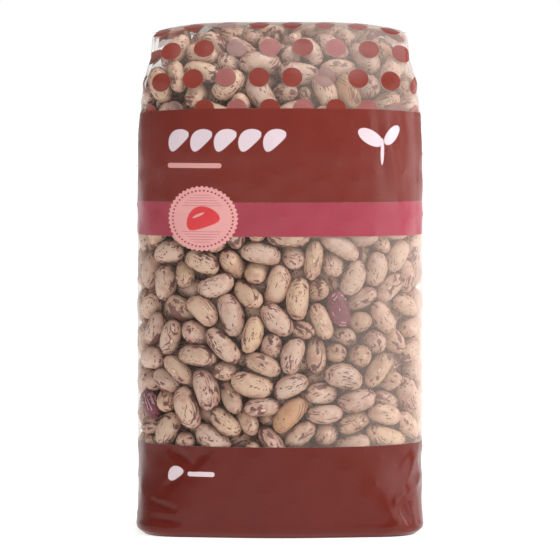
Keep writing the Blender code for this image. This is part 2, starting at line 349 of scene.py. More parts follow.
def film_grid(rows, columns):
    """The film's surface before the beans press into it: (rows, columns, 3) points and row heights."""
    heights = row_heights(*rows)
    flat = np.array([whole_outline(h, columns) for h in heights])
    level = np.repeat(heights[:, None], flat.shape[1], axis=1)
    share = smooth_step(HEIGHT - SHOULDER, HEIGHT, heights)[:, None]
    wide = along_stations(WIDTH_STATIONS, HEIGHT)
    level = level - RIDGE_DROP * share * (flat[..., 0] / wide) ** 4
    return np.dstack((flat, level)), heights


def outward(points):
    along = np.roll(points, -1, axis=1) - np.roll(points, 1, axis=1)
    up = np.gradient(points, axis=0)
    normal = np.cross(along, up)
    return normal / np.maximum(np.linalg.norm(normal, axis=2, keepdims=True), 1e-9)


def grid_faces(rows, columns):
    """Faces of a grid that closes round its columns, then its base and the strip along its ridge."""
    faces = []
    for r in range(rows - 1):
        here, above = r * columns, (r + 1) * columns
        for c in range(columns):
            d = (c + 1) % columns
            faces.append((here + c, here + d, above + d, above + c))
    top, half = (rows - 1) * columns, columns // 2
    for c in range(-half // 2, half // 2):
        strip = [c % columns, (c + 1) % columns, (half - c - 1) % columns, (half - c) % columns]
        faces.append(tuple(top + k for k in dict.fromkeys(strip)))
    return faces


class DepthField:
    """Depth under the film at any point, read from a grid of samples."""

    def __init__(self, surface_points):
        rows, columns = surface_points.shape[:2]
        faces = grid_faces(rows, columns)
        faces.append(tuple(reversed(range(columns))))
        tree = BVHTree.FromPolygons(surface_points.reshape(-1, 3).tolist(), faces)
        margin = 3 * SDF_PITCH
        low = surface_points.min(axis=(0, 1)) - margin
        high = surface_points.max(axis=(0, 1)) + margin
        self.low = low
        self.count = np.ceil((high - low) / SDF_PITCH).astype(int) + 1
        axes = [low[i] + SDF_PITCH * np.arange(self.count[i]) for i in range(3)]
        depth = np.empty(self.count)
        for i, x in enumerate(axes[0]):
            for j, y in enumerate(axes[1]):
                for k, z in enumerate(axes[2]):
                    point = Vector((x, y, z))
                    nearest, normal, _, distance = tree.find_nearest(point)
                    depth[i, j, k] = -distance if (point - nearest).dot(normal) > 0 else distance
        slopes = np.gradient(depth, SDF_PITCH)
        self.table = np.stack([depth] + list(slopes), axis=-1)

    def at(self, points):
        """Depth at each point, and the unit direction in which it grows."""
        place = (points - self.low) / SDF_PITCH
        cell = np.clip(np.floor(place).astype(int), 0, self.count - 2)
        share = np.clip(place - cell, 0.0, 1.0)
        total = np.zeros(points.shape[:-1] + (4,))
        for corner in range(8):
            bit = np.array([(corner >> k) & 1 for k in range(3)])
            weight = np.prod(np.where(bit, share, 1.0 - share), axis=-1)
            at = cell + bit
            total += weight[..., None] * self.table[at[..., 0], at[..., 1], at[..., 2]]
        slope = total[..., 1:]
        return total[..., 0], slope / np.maximum(np.linalg.norm(slope, axis=-1, keepdims=True), 1e-9)


def lying_turns(draw, inward):
    """Rotation matrices that lay beans more or less flat against the film, at any angle along it."""
    thin = inward + draw.normal(0.0, LIE_SPREAD, inward.shape)
    thin /= np.linalg.norm(thin, axis=1, keepdims=True)
    long = np.cross(thin, draw.normal(size=inward.shape))
    long /= np.linalg.norm(long, axis=1, keepdims=True)
    return np.stack((long, np.cross(thin, long), thin), axis=2)


def small_turns(spin):
    """Rotation matrices from small axis-angle vectors."""
    angle = np.linalg.norm(spin, axis=1)[:, None, None]
    axis = spin / np.maximum(angle[:, :, 0], 1e-12)
    cross = np.zeros((len(spin), 3, 3))
    cross[:, 0, 1], cross[:, 0, 2] = -axis[:, 2], axis[:, 1]
    cross[:, 1, 0], cross[:, 1, 2] = axis[:, 2], -axis[:, 0]
    cross[:, 2, 0], cross[:, 2, 1] = -axis[:, 1], axis[:, 0]
    return np.eye(3) + np.sin(angle) * cross + (1 - np.cos(angle)) * (cross @ cross)


def settle_beans(field):
    """Packs the beans under the film: they grow from half size, push apart and turn until they fit."""
    draw = np.random.default_rng(BEAN_SEED)
    low, high = field.low, field.low + SDF_PITCH * (field.count - 1)
    tries = low + (high - low) * draw.random((60000, 3))
    depth, inward = field.at(tries)
    inside = np.nonzero((depth > 0.8 * BEAN_HALF[2]) & (depth < SHELL_DEPTH))[0][:BEAN_COUNT]
    centre, count = tries[inside], len(inside)
    half = BEAN_HALF * draw.normal(1.0, 0.055, (count, 3)).clip(0.86, 1.16)
    half *= draw.normal(1.0, 0.05, (count, 1)).clip(0.88, 1.12)
    turn = lying_turns(draw, inward[inside])

    ball = half[:, 2].copy()
    end = half[:, 0] - ball
    side = np.maximum(half[:, 1] - ball, 0.0)
    zero = np.zeros(count)
    ball_at = np.stack([
        np.stack((end, zero, zero), axis=1),
        np.stack((-end, zero, zero), axis=1),
        np.stack((0.45 * end, side, zero), axis=1),
        np.stack((0.45 * end, -side, zero), axis=1),
        np.stack((-0.45 * end, side, zero), axis=1),
        np.stack((-0.45 * end, -side, zero), axis=1),
    ], axis=1)
    balls = ball_at.shape[1]
    owner = np.repeat(np.arange(count), balls)

    pairs = None
    for step in range(GROW_STEPS + SETTLE_STEPS):
        grown = min(1.0, FIRST_SIZE + (1.0 - FIRST_SIZE) * step / GROW_STEPS)
        radius = np.repeat(ball * grown, balls)
        arm = np.einsum("nij,nkj->nki", turn, ball_at * grown)
        place = (centre[:, None] + arm).reshape(-1, 3)
        if step % 8 == 0:
            gap = centre[:, None] - centre[None]
            apart = np.einsum("ijk,ijk->ij", gap, gap)
            first, second = np.nonzero(np.triu(apart < (2.3 * BEAN_HALF[0] * grown) ** 2, 1))
            k = np.arange(balls)
            a = (first[:, None, None] * balls + k[None, :, None] + 0 * k[None, None]).ravel()
            b = (second[:, None, None] * balls + 0 * k[None, :, None] + k[None, None]).ravel()
            near = np.linalg.norm(place[a] - place[b], axis=1) < radius[a] + radius[b] + 1.6 * MM
            pairs = a[near], b[near]
        a, b = pairs
        line = place[a] - place[b]
        length = np.maximum(np.linalg.norm(line, axis=1), 1e-9)
        over = radius[a] + radius[b] - length
        hit = over > 0
        a, b = a[hit], b[hit]
        push = 0.5 * line[hit] * (over[hit] / length[hit])[:, None]

        depth, inward = field.at(place)
        wall = np.maximum(radius - depth, 0.0)
        wall_push = inward * wall[:, None]
        middle_depth, middle_inward = field.at(centre)
        deep = np.maximum(middle_depth - SHELL_DEPTH, 0.0)

        ball_push = wall_push
        ball_hits = (wall > 0).astype(float)
        for axis in range(3):
            ball_push[:, axis] += np.bincount(a, push[:, axis], len(place))
            ball_push[:, axis] -= np.bincount(b, push[:, axis], len(place))
        ball_hits += np.bincount(a, minlength=len(place)) + np.bincount(b, minlength=len(place))
        flat_arm = arm.reshape(-1, 3)
        spin_push = np.cross(flat_arm, ball_push)
        arm_square = (flat_arm**2).sum(axis=1) * ball_hits
        hits = np.bincount(owner, ball_hits, count)
        move = np.stack([np.bincount(owner, ball_push[:, k], count) for k in range(3)], axis=1)
        spin = np.stack([np.bincount(owner, spin_push[:, k], count) for k in range(3)], axis=1)
        reach = np.bincount(owner, arm_square, count) + 1e-9
        centre = centre + 1.5 * move / np.maximum(hits, 1.0)[:, None]
        centre = centre - middle_inward * deep[:, None]
        if step < GROW_STEPS + SETTLE_STEPS - 40:
            centre = centre - middle_inward * 0.04 * MM
        turn = small_turns(1.5 * spin / reach[:, None]) @ turn
    overlap = np.sort(over[hit])[::-1]
    print("beans", count, "deepest overlaps mm", (overlap[:3] / MM).round(2), "mean", overlap.mean() / MM)
    return centre, turn, half



def proud(points, heights):
    """The film where it lies over the beans, a little outside the solid's own smooth surface."""
    share = smooth_step(0.0, 4 * MM, heights) * (1.0 - smooth_step(HEIGHT - 3 * MM, HEIGHT, heights))
    return points + outward(points) * (share * BEANS_PROUD)[:, None, None]


def film_hold(points, heights):
    """1 where the film lies on beans, falling to 0 at the base's edge, the ridge and the tucks."""
    above_base = smooth_step(0.5 * MM, 6 * MM, heights)[:, None]
    below_ridge = 1.0 - smooth_step(HEIGHT - 9 * MM, HEIGHT - 1 * MM, heights)[:, None]
    tucked = np.array([tuck(h) for h in heights])[:, None] / TUCK_DEPTH
    empty_film = np.clip(1.6 * tucked, 0.0, 1.0)
    near_edge = smooth_step(1.4 * TUCK_DEPTH, 2.0 * TUCK_DEPTH, np.abs(points[..., 0]))
    return above_base * below_ridge * (1.0 - empty_film * near_edge)


def bean_form():
    """One bean in units of its half sizes: long axis X, broad sides +Z and -Z, hilum at -Y."""
    bpy.ops.object.select_all(action="DESELECT")
    bpy.ops.mesh.primitive_uv_sphere_add(
        segments=BEAN_SIDES, ring_count=BEAN_RINGS, radius=1.0, rotation=(0.0, math.pi / 2, 0.0)
    )
    bpy.ops.object.transform_apply(location=True, rotation=True, scale=True)
    model = bpy.context.object
    points = np.array([v.co[:] for v in model.data.vertices])
    faces = [tuple(p.vertices) for p in model.data.polygons]
    bpy.data.objects.remove(model)
    x, y, z = points.T
    round_part = np.sqrt(np.maximum(1.0 - x**2, 1e-9))
    full_part = np.sqrt(np.maximum(1.0 - np.abs(x) ** 2.7, 1e-9))
    fuller = np.where(round_part > 1e-3, full_part / round_part, 1.16)
    y = y * fuller
    z = z * fuller
    belly = np.where(y < 0, 1.0 - BELLY_FLAT * (1.0 - x**2), 1.0)
    y = y * belly + BEAN_BEND * (0.4 - x**2)
    return np.stack((x, y, z), axis=1), faces


def bean_points(form, centre, turn, half, draw):
    """Every bean's points in the world and in its own frame, each bean a little uneven."""
    own = form[None] * half[:, None]
    phase = draw.uniform(0, 2 * math.pi, (len(half), 1))
    lump = 1.0 + 0.018 * np.sin(5.0 * form[None, :, 0] + phase) * np.cos(3.0 * form[None, :, 1] + 2 * phase)
    own[..., 1:] *= lump[..., None]
    world = np.einsum("nij,nkj->nki", turn, own) + centre[:, None]
    return world, own


def mesh_object(name, points, faces, smooth=True):
    mesh = bpy.data.meshes.new(name)
    mesh.from_pydata(points.tolist(), [], faces)
    mesh.update()
    if smooth:
        mesh.shade_smooth()
    piece = bpy.data.objects.new(name, mesh)
    bpy.context.scene.collection.objects.link(piece)
    return piece


def bean_piece(name, chosen, world, own, faces, chance):
    """One piece with all the beans of a kind, which carry their own coordinates and a random number."""
    size = world.shape[1]
    joined = [tuple(v + i * size for v in face) for i in range(len(chosen)) for face in faces]
    piece = mesh_object(name, world[chosen].reshape(-1, 3), joined)
    own_point = piece.data.attributes.new("bean_point", "FLOAT_VECTOR", "POINT")
    own_point.data.foreach_set("vector", (own[chosen] / MM).astype(np.float32).ravel())
    number = piece.data.attributes.new("bean_chance", "FLOAT", "POINT")
    number.data.foreach_set("value", np.repeat(chance[chosen], size).astype(np.float32))
    return piece


def bean_heights(points, normals, world, faces):
    """How far the beans reach above each point of the film's surface, and which bean is there."""
    size = world.shape[1]
    joined = [tuple(v + i * size for v in face) for i in range(len(world)) for face in faces]
    tree = BVHTree.FromPolygons(world.reshape(-1, 3).tolist(), joined)
    rows, columns = points.shape[:2]
    height = np.full((rows, columns), -RAY_DEPTH)
    bean = np.full((rows, columns), -1)
    start = points + normals * RAY_START
    for r in range(rows):
        for c in range(columns):
            hit = tree.ray_cast(Vector(start[r, c]), Vector(-normals[r, c]), RAY_START + RAY_DEPTH)
            if hit[3] is not None and RAY_START - hit[3] < MOST_PROUD:
                height[r, c] = RAY_START - hit[3]
                bean[r, c] = hit[2] // len(faces)
    return height, bean


def press_to_film(points, normals, world, faces):
    """Slides each outer bean along the film's normal until it just touches the film, in or out."""
    moved = np.zeros((len(world), 3))
    for _ in range(PRESS_ROUNDS):
        height, bean = bean_heights(points, normals, world + moved[:, None], faces)
        seen = bean >= 0
        reach = np.full(len(world), -RAY_DEPTH)
        np.maximum.at(reach, bean[seen], height[seen])
        order = np.argsort(height[seen])
        at = np.zeros((len(world), 3))
        at[bean[seen][order]] = normals[seen][order]
        slide = np.where(reach > -PULL_OUT, -reach - BEANS_INSET, 0.0)
        moved += at * slide[:, None]
    low = (world + moved[:, None])[..., 2].min(axis=1)
    moved[:, 2] += np.maximum(BASE_CLEAR - low, 0.0)
    return moved


def tight_film(height, hold):
    """The film's height over its surface: it rests on the beans and sags a little between them."""
    film = np.zeros_like(height)
    for step in range(FILM_STEPS + FILM_EASE):
        around = 0.25 * (np.roll(film, 1, axis=1) + np.roll(film, -1, axis=1))
        above = np.vstack((film[1:], film[-1:]))
        below = np.vstack((film[:1], film[:-1]))
        around += 0.25 * (above + below)
        film = np.maximum(around - FILM_PULL, height) if step < FILM_STEPS else around
    return np.maximum(film, height - FILM_GAP) * hold


def folded_film(points):
    """The film with the few straight creases of its front, which stand out or in."""
    x, y, z = np.moveaxis(points, 2, 0)
    relief = np.zeros_like(x)
    for x0, z0, x1, z1, height, width in FILM_FOLDS:
        run, rise = (x1 - x0) * MM, (z1 - z0) * MM
        share = np.clip(((x - x0 * MM) * run + (z - z0 * MM) * rise) / (run**2 + rise**2), 0.0, 1.0)
        away = np.hypot(x - x0 * MM - share * run, z - z0 * MM - share * rise)
        profile = np.clip(1.0 - away / (width * MM), 0.0, 1.0)
        ends = np.sin(math.pi * np.clip(share, 0.12, 0.88))
        relief += np.where(y < 0, height * MM * profile * ends, 0.0)
    return points + outward(points) * relief[..., None]


def unrolled(points, heights):
    """The film's own flat coordinates: u round the bag from the front's middle, v up the front."""
    step = np.linalg.norm(np.diff(np.concatenate((points, points[:, :1]), axis=1), axis=1), axis=2)
    half = points.shape[1] // 2
    right = np.concatenate((np.zeros((len(points), 1)), np.cumsum(step[:, :half], axis=1)), axis=1)
    left = np.concatenate((np.zeros((len(points), 1)), np.cumsum(step[:, :half - 1:-1], axis=1)), axis=1)
    middle = points[:, 0]
    rise = np.concatenate(([0.0], np.cumsum(np.linalg.norm(np.diff(middle, axis=0), axis=1))))
    return right, -left, rise + heights[0]


def film_skin(points, heights, relief, name):
    rows, columns = points.shape[:2]
    shape = points + outward(points) * relief[..., None]
    faces = grid_faces(rows, columns)
    rings = [shape[0] * (s, s, 1.0) for s in BASE_RINGS]
    verts = np.vstack([shape.reshape(-1, 3)] + rings)
    ring_start = rows * columns
    starts = [0] + [ring_start + i * columns for i in range(len(rings))]
    for outer, inner in zip(starts, starts[1:]):
        for c in range(columns):
            d = (c + 1) % columns
            faces.append((outer + d, outer + c, inner + c, inner + d))
    faces.append(tuple(reversed(range(starts[-1], starts[-1] + columns))))
    piece = mesh_object(name, verts, faces)

    right, left, up = unrolled(points, heights)
    half = columns // 2
    u_right = np.zeros((rows, columns))
    u_right[:, :half + 1] = right
    u_left = np.zeros((rows, columns))
    u_left[:, half:] = left[:, half:0:-1]
    v = np.repeat(up[:, None], columns, axis=1)
    for i, share in enumerate(BASE_RINGS):
        u_right = np.vstack((u_right, u_right[:1] * share))
        u_left = np.vstack((u_left, u_left[:1] * share))
        v = np.vstack((v, np.full((1, columns), -(1.0 - share) * HALF_DEPTH)))
    u_right, u_left, v = u_right.ravel(), u_left.ravel(), v.ravel()
    layer = piece.data.uv_layers.new(name="unrolled")
    loops = np.empty(len(piece.data.loops), dtype=np.int32)
    piece.data.loops.foreach_get("vertex_index", loops)
    face_of = np.repeat(np.arange(len(faces)), [len(f) for f in faces])
    column = loops % columns
    leftmost = np.full(len(faces), False)
    np.logical_or.at(leftmost, face_of, column > half)
    use_left = leftmost[face_of] & (column >= half)
    u = np.where(use_left, u_left[loops], u_right[loops])
    layer.data.foreach_set("uv", np.stack((u, v[loops]), axis=1).astype(np.float32).ravel())
    return piece


class Wires:
    """Adds nodes to a tree and wires them, so that a pattern reads like a formula."""

    def __init__(self, tree):
        self.tree = tree

    def put(self, socket, value):
        if isinstance(value, bpy.types.NodeSocket):
            self.tree.links.new(value, socket)
        elif value is not None:
            socket.default_value = value

    def node(self, kind, **settings):
        made = self.tree.nodes.new(kind)
        for name, value in settings.items():
            setattr(made, name, value)
        return made

    def maths(self, operation, *values, clamp=False):
        made = self.node("ShaderNodeMath", operation=operation, use_clamp=clamp)
        for socket, value in zip(made.inputs, values):
            self.put(socket, value)
        return made.outputs[0]

    def vector(self, operation, *values):
        made = self.node("ShaderNodeVectorMath", operation=operation)
        for socket, value in zip(made.inputs, values):
            self.put(socket, value)
        return made.outputs["Value"] if operation in ("LENGTH", "DISTANCE") else made.outputs[0]

    def split(self, vector):
        made = self.node("ShaderNodeSeparateXYZ")
        self.put(made.inputs[0], vector)
        return made.outputs

    def join(self, x=0.0, y=0.0, z=0.0):
        made = self.node("ShaderNodeCombineXYZ")
        for socket, value in zip(made.inputs, (x, y, z)):
            self.put(socket, value)
        return made.outputs[0]

    def ramp(self, value, low, high, start=0.0, end=1.0, kind="SMOOTHSTEP"):
        made = self.node("ShaderNodeMapRange", interpolation_type=kind)
        for socket, amount in zip(made.inputs, (value, low, high, start, end)):
            self.put(socket, amount)
        return made.outputs[0]

    def mix(self, share, under, over, blend="MIX"):
        made = self.node("ShaderNodeMix", data_type="RGBA", blend_type=blend)
        self.put(made.inputs[0], share)
        self.put(made.inputs[6], under)
        self.put(made.inputs[7], over)
        return made.outputs[2]

    def mix_value(self, share, under, over):
        made = self.node("ShaderNodeMix", data_type="FLOAT")
        self.put(made.inputs[0], share)
        self.put(made.inputs[2], under)
        self.put(made.inputs[3], over)
        return made.outputs[0]

    def noise(self, vector, scale, detail=2.0, rough=0.5):
        made = self.node("ShaderNodeTexNoise")
        self.put(made.inputs["Vector"], vector)
        self.put(made.inputs["Scale"], scale)
        self.put(made.inputs["Detail"], detail)
        self.put(made.inputs["Roughness"], rough)
        return made.outputs[0]

    def chance(self, vector):
        made = self.node("ShaderNodeTexWhiteNoise", noise_dimensions="3D")
        self.put(made.inputs["Vector"], vector)
        return made.outputs["Value"]

    def both(self, *masks):
        result = masks[0]
        for mask in masks[1:]:
            result = self.maths("MULTIPLY", result, mask)
        return result

    def either(self, *masks):
        result = masks[0]
        for mask in masks[1:]:
            result = self.maths("MAXIMUM", result, mask)
        return result


def srgb(red, green, blue):
    """A colour given as 0 to 255 on screen, as the linear colour that a shader takes."""
    shares = (red / 255.0, green / 255.0, blue / 255.0)
    linear = [c / 12.92 if c <= 0.04045 else ((c + 0.055) / 1.055) ** 2.4 for c in shares]
    return (*linear, 1.0)


# Colours, as they look on screen.
CLEAR_FILM = srgb(210, 190, 179)
BRICK = srgb(128, 52, 42)
ROSE_DOT = srgb(152, 92, 89)
MAUVE_DOT = srgb(160, 128, 124)
BAND = srgb(113, 42, 34)
STRIPE = srgb(153, 59, 73)
FOOT_BAND = srgb(96, 27, 17)
OFF_WHITE = srgb(214, 196, 202)
PALE_PINK = srgb(206, 148, 144)
BADGE_PINK = srgb(218, 155, 152)
BADGE_BEAD = srgb(142, 62, 66)
BADGE_RULE = srgb(190, 120, 122)
BADGE_RED = srgb(205, 62, 66)
STREAK = srgb(96, 46, 46)
HILUM = srgb(222, 202, 174)
HILUM_RING = srgb(150, 108, 80)
WARM_GROUND = srgb(208, 174, 136)
# Painted shade: the beans deep in the bag and the gaps between them, darkened as if lying in shadow.
SHADED_DEEP_BEAN = srgb(166, 118, 92)
SHADED_DEEP_GAP = srgb(122, 74, 54)

# Each kind of bean: its pale ground, how that looks on a warmer bean, its blush (also its painted shade towards
# the rim), its markings, and how many streaks and specks it has.
BEAN_KINDS = (
    ("speckled_beans", srgb(209, 179, 161), WARM_GROUND, srgb(186, 143, 123), STREAK, 0.0, 0.8),
    ("streaked_beans", srgb(205, 174, 157), WARM_GROUND, srgb(182, 138, 119), STREAK, 0.35, 0.7),
    ("tan_beans", srgb(192, 148, 112), srgb(192, 148, 112), srgb(176, 126, 96), STREAK, -0.2, 0.3),
    ("maroon_beans", srgb(112, 46, 62), srgb(112, 46, 62), srgb(132, 62, 82), srgb(206, 176, 176), -1.0, 0.5),
)


def new_group(name, inputs, outputs):
    """A node group with named sockets, and the wires and end nodes to fill it with."""
    kinds = {"float": "NodeSocketFloat", "vector": "NodeSocketVector", "colour": "NodeSocketColor"}
    tree = bpy.data.node_groups.new(name, "ShaderNodeTree")
    for socket, kind in inputs:
        tree.interface.new_socket(name=socket, in_out="INPUT", socket_type=kinds[kind])
    for socket, kind in outputs:
        tree.interface.new_socket(name=socket, in_out="OUTPUT", socket_type=kinds[kind])
    wires = Wires(tree)
    entry = wires.node("NodeGroupInput")
    leave = wires.node("NodeGroupOutput")
    return tree, wires, entry.outputs, leave.inputs


def bean_coat():
    """The seed coat of a speckled bean: pale ground, blush with a painted shade towards the rim, streaks along
    the rim, specks and hilum.
    """
    tree, w, take, give = new_group(
        "bean_coat",
        [("Point", "vector"), ("Chance", "float"), ("Pale", "colour"), ("Warm", "colour"),
         ("Blush_and_shade", "colour"), ("Streak", "colour"), ("Streaks", "float"), ("Specks", "float")],
        [("Color", "colour"), ("Roughness", "float"), ("Height", "float")],
    )
    point, chance = take["Point"], take["Chance"]
    x, y, z = w.split(point)
    shift = w.maths("MULTIPLY", chance, 97.0)
    moved = w.vector("ADD", point, w.join(shift, w.maths("MULTIPLY", shift, 1.7), shift))

    across = w.maths("DIVIDE", y, BEAN_HALF[1] / MM)
    along = w.maths("DIVIDE", x, BEAN_HALF[0] / MM)
    ring = w.vector("LENGTH", w.join(along, across))
    angle = w.maths("ARCTAN2", across, along)
    face_side = w.maths("SIGN", z)
    on_rim = w.ramp(ring, 0.45, 0.90)
    patch = w.noise(moved, 0.16, 0.0)
    patch_shift = w.maths("SUBTRACT", patch, 0.5)

    lengthwise = w.vector("MULTIPLY", moved, (0.42, 1.5, 1.5))
    long_noise = w.noise(lengthwise, 0.95, 1.5)
    rim_place = w.join(
        w.maths("ADD", w.maths("MULTIPLY", ring, 5.5), shift),
        w.maths("MULTIPLY", angle, 1.25),
        w.maths("ADD", w.maths("MULTIPLY", face_side, 3.0), shift),
    )
    rim_noise = w.noise(rim_place, 1.0, 1.5)
    level = w.mix_value(on_rim, long_noise, rim_noise)
    level = w.maths("ADD", level, w.maths("MULTIPLY", patch_shift, 0.30))
    level = w.maths("ADD", level, w.maths("MULTIPLY", on_rim, 0.05))
    level = w.maths("ADD", level, w.maths("MULTIPLY", take["Streaks"], 0.09))
    level = w.maths("ADD", level, w.ramp(w.chance(w.join(chance, 7.0, 2.0)), 0.0, 1.0, -0.05, 0.05, "LINEAR"))
    streak = w.ramp(level, 0.665, 0.695)
    arc_place = w.join(shift, w.maths("MULTIPLY", angle, 0.8), w.maths("MULTIPLY", face_side, 3.0))
    arc_ring = w.maths("ADD", ring, w.maths("MULTIPLY", w.noise(arc_place, 1.0, 1.0), 0.34))
    arc_off = w.maths("PINGPONG", w.maths("SUBTRACT", arc_ring, 0.88), 0.075)
    arc_gate = w.ramp(w.noise(w.vector("ADD", arc_place, (9.0, 4.0, 2.0)), 1.7, 1.0), 0.54, 0.60)
    arcs = w.both(w.ramp(arc_off, 0.016, 0.034, 1.0, 0.0), arc_gate, w.ramp(ring, 0.60, 0.72))
    streak = w.either(streak, w.maths("MULTIPLY", arcs, 0.9))
    halo = w.ramp(level, 0.60, 0.70)

    speck_place = w.vector("MULTIPLY", moved, (0.7, 1.0, 1.0))
    cells = w.node("ShaderNodeTexVoronoi", feature="F1")
    w.put(cells.inputs["Vector"], speck_place)
    w.put(cells.inputs["Scale"], 0.85)
    kept = w.chance(cells.outputs["Position"])
    wanted = w.maths("MULTIPLY", take["Specks"], w.ramp(patch, 0.36, 0.64, 0.08, 1.0))
    radius = w.ramp(w.chance(w.vector("ADD", cells.outputs["Position"], (5.0, 1.0, 2.0))),
                    0.0, 1.0, 0.13, 0.30, "LINEAR")
    small = w.maths("LESS_THAN", cells.outputs["Distance"], radius)
    speck = w.both(small, w.maths("LESS_THAN", kept, wanted))

    # The blush: real mottling from noise, and a painted shade that deepens it towards the rim of each bean.
    blush_and_rim_shade = w.maths("ADD", w.noise(moved, 0.35, 2.0), w.maths("MULTIPLY", on_rim, 0.16))
    warmth = w.ramp(w.chance(w.join(chance, 11.0, 4.0)), 0.35, 1.0, 0.0, 0.75, "LINEAR")
    ground = w.mix(warmth, take["Pale"], take["Warm"])
    colour = w.mix(w.ramp(blush_and_rim_shade, 0.46, 0.88), ground, take["Blush_and_shade"])
    colour = w.mix(w.maths("MULTIPLY", halo, 0.20), colour, take["Streak"])
    colour = w.mix(w.maths("MULTIPLY", streak, 0.88), colour, take["Streak"])
    colour = w.mix(w.maths("MULTIPLY", speck, 0.88), colour, take["Streak"])
    tone = w.ramp(w.chance(w.join(chance, 3.0, 1.0)), 0.0, 1.0, 0.86, 1.04, "LINEAR")
    colour = w.mix(1.0, colour, w.join(tone, tone, tone), "MULTIPLY")

    hilum = w.vector("LENGTH", w.join(w.maths("DIVIDE", x, 1.15), w.maths("DIVIDE", z, 0.55)))
    belly = w.maths("LESS_THAN", y, 0.0)
    scar_ring = w.both(belly, w.ramp(hilum, 1.2, 1.6, 1.0, 0.0))
    scar = w.both(belly, w.ramp(hilum, 0.7, 1.0, 1.0, 0.0))
    colour = w.mix(w.maths("MULTIPLY", scar_ring, 0.6), colour, HILUM_RING)
    colour = w.mix(w.maths("MULTIPLY", scar, 0.8), colour, HILUM)
    w.put(give["Color"], colour)
    w.put(give["Roughness"], w.ramp(w.noise(moved, 0.9, 2.0), 0.3, 0.7, 0.34, 0.46))
    height = w.maths("ADD", w.maths("MULTIPLY", w.noise(moved, 0.5, 3.0), 0.8),
                     w.maths("MULTIPLY", scar, -0.5))
    w.put(give["Height"], height)
    return tree


def new_material(name):
    material = bpy.data.materials.new(name)
    material.use_nodes = True
    shader = material.node_tree.nodes["Principled BSDF"]
    return material, Wires(material.node_tree), shader.inputs


def bean_material(name, coat, pale, warm, blush_and_shade, streak, streaks, specks):
    material, w, shader = new_material(name)
    point = w.node("ShaderNodeAttribute", attribute_name="bean_point")
    chance = w.node("ShaderNodeAttribute", attribute_name="bean_chance")
    look = w.node("ShaderNodeGroup", node_tree=coat)
    w.put(look.inputs["Point"], point.outputs["Vector"])
    w.put(look.inputs["Chance"], chance.outputs["Fac"])
    w.put(look.inputs["Pale"], pale)
    w.put(look.inputs["Warm"], warm)
    w.put(look.inputs["Blush_and_shade"], blush_and_shade)
    w.put(look.inputs["Streak"], streak)
    w.put(look.inputs["Streaks"], streaks)
    w.put(look.inputs["Specks"], specks)
    w.put(shader["Base Color"], look.outputs["Color"])
    w.put(shader["Roughness"], look.outputs["Roughness"])
    w.put(shader["Specular IOR Level"], 0.42)
    bump = w.node("ShaderNodeBump")
    w.put(bump.inputs["Height"], look.outputs["Height"])
    w.put(bump.inputs["Strength"], 0.35)
    w.put(bump.inputs["Distance"], 0.25 * MM)
    w.put(shader["Normal"], bump.outputs["Normal"])
    return material


def oval(w, u, v, centre, radii, tilt=0.0, edge=0.05):
    """A filled oval in the print: 1 inside, 0 outside, on film coordinates in millimetres."""
    across = w.maths("SUBTRACT", u, centre[0])
    up = w.maths("SUBTRACT", v, centre[1])
    return turned_oval(w, across, up, radii, tilt, edge)


def turned_oval(w, across, up, radii, tilt, edge=0.05):
    """The same on offsets from the oval's middle; tilt is in radians and may vary over the film."""
    cosine, sine = w.maths("COSINE", tilt), w.maths("SINE", tilt)
    along = w.maths("ADD", w.maths("MULTIPLY", across, cosine), w.maths("MULTIPLY", up, sine))
    over = w.maths("SUBTRACT", w.maths("MULTIPLY", up, cosine), w.maths("MULTIPLY", across, sine))
    reach = w.vector("LENGTH", w.join(w.maths("DIVIDE", along, radii[0]), w.maths("DIVIDE", over, radii[1])))
    return w.ramp(reach, 1.0 - edge, 1.0 + edge, 1.0, 0.0)


def kidney(w, across, up, radii, tilt, edge=0.05):
    """An oval bent along its length, as a bean is drawn."""
    cosine, sine = w.maths("COSINE", tilt), w.maths("SINE", tilt)
    along = w.maths("ADD", w.maths("MULTIPLY", across, cosine), w.maths("MULTIPLY", up, sine))
    over = w.maths("SUBTRACT", w.maths("MULTIPLY", up, cosine), w.maths("MULTIPLY", across, sine))
    along = w.maths("DIVIDE", along, radii[0])
    bend = w.maths("MULTIPLY", w.maths("MULTIPLY", along, along), PRINTED_BEAN_BEND)
    over = w.maths("ADD", w.maths("DIVIDE", over, radii[1]), w.maths("SUBTRACT", bend, 0.15))
    reach = w.vector("LENGTH", w.join(along, over))
    return w.ramp(reach, 1.0 - edge, 1.0 + edge, 1.0, 0.0)


def bar(w, u, v, centre, size):
    """A flat bar with round ends in the print."""
    half = 0.5 * size[1]
    across = w.maths("ABSOLUTE", w.maths("SUBTRACT", u, centre[0]))
    beyond = w.maths("MAXIMUM", w.maths("SUBTRACT", across, 0.5 * size[0] - half), 0.0)
    reach = w.vector("LENGTH", w.join(beyond, w.maths("SUBTRACT", v, centre[1])))
    return w.ramp(reach, half - PRINT_EDGE, half + PRINT_EDGE, 1.0, 0.0)


def between(w, v, low, high):
    above = w.ramp(v, low - PRINT_EDGE, low + PRINT_EDGE)
    below = w.ramp(v, high - PRINT_EDGE, high + PRINT_EDGE, 1.0, 0.0)
    return w.both(above, below)


